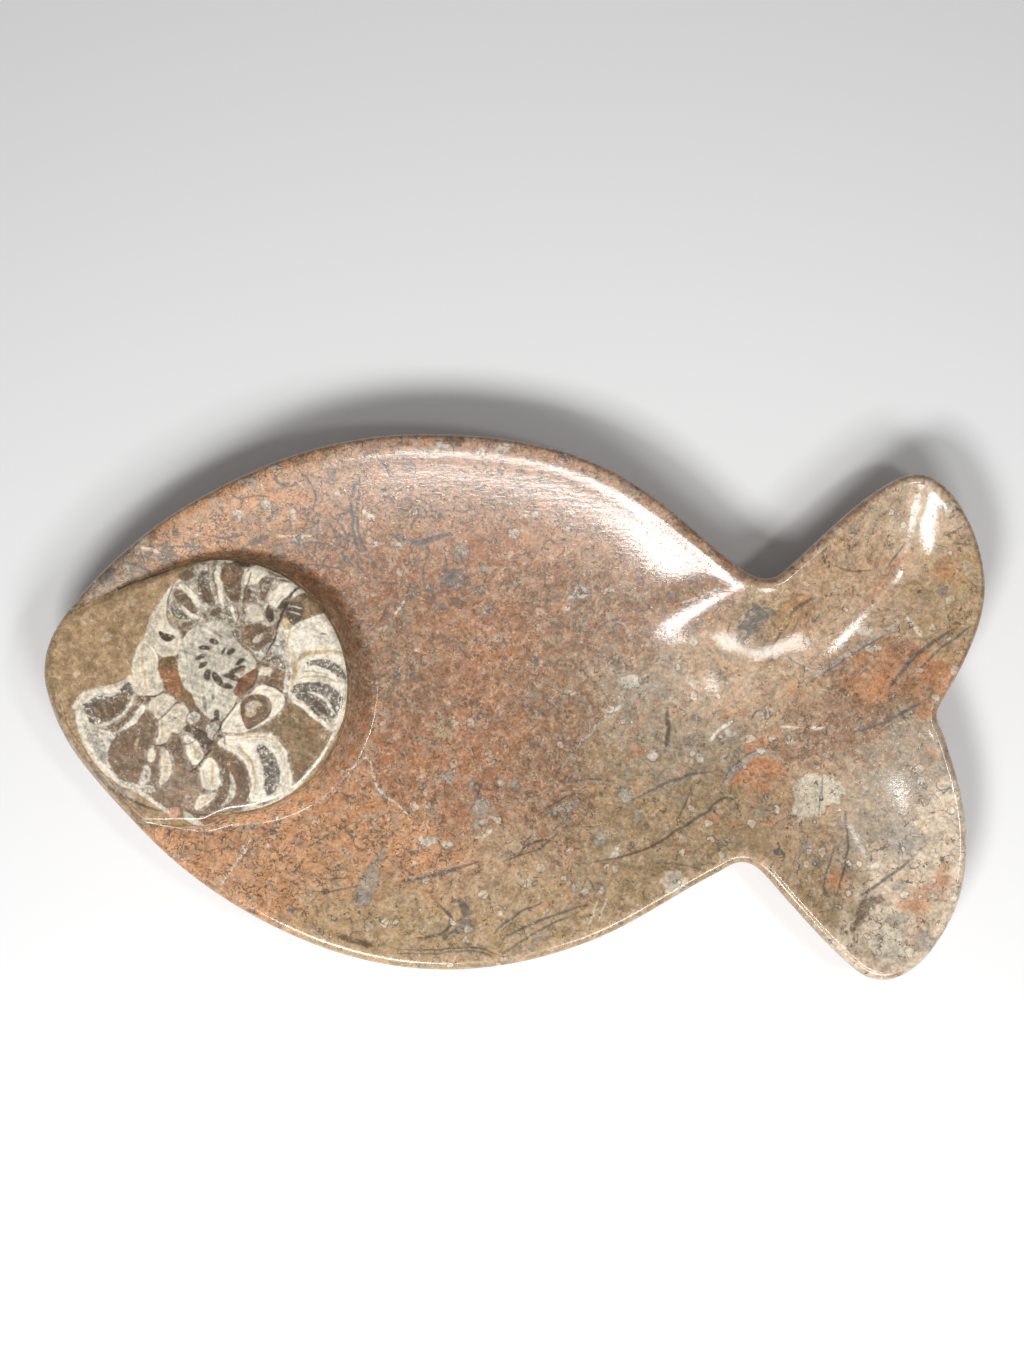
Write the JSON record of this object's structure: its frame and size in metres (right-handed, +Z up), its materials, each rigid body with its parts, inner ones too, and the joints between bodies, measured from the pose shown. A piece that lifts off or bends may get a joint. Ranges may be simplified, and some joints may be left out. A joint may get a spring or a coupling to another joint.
{
  "type": "fish-shaped fossil stone dish",
  "caption": "Shallow fish-shaped dish carved from polished fossil limestone, with a hollow body and forked tail and a round goniatite fossil inlaid flush at the head.",
  "frame": {"origin": "centre of the bounding box at the flat base", "axes": "+X from the fish's nose towards its tail, +Y towards its back, +Z up out of the open dish"},
  "size_m": [0.2254, 0.1309, 0.022],
  "materials": {
    "fossil_limestone": "polished red-brown limestone with grey shell and crinoid sections",
    "goniatite_limestone": "polished olive-brown limestone with white calcite chambers",
    "filler_resin": "stone-filled resin, polished with the stone"
  },
  "bodies": {
    "root": {"slab": "fossil_limestone", "goniatite_block": "goniatite_limestone", "seam_filler": "filler_resin"}
  },
  "joints": []
}
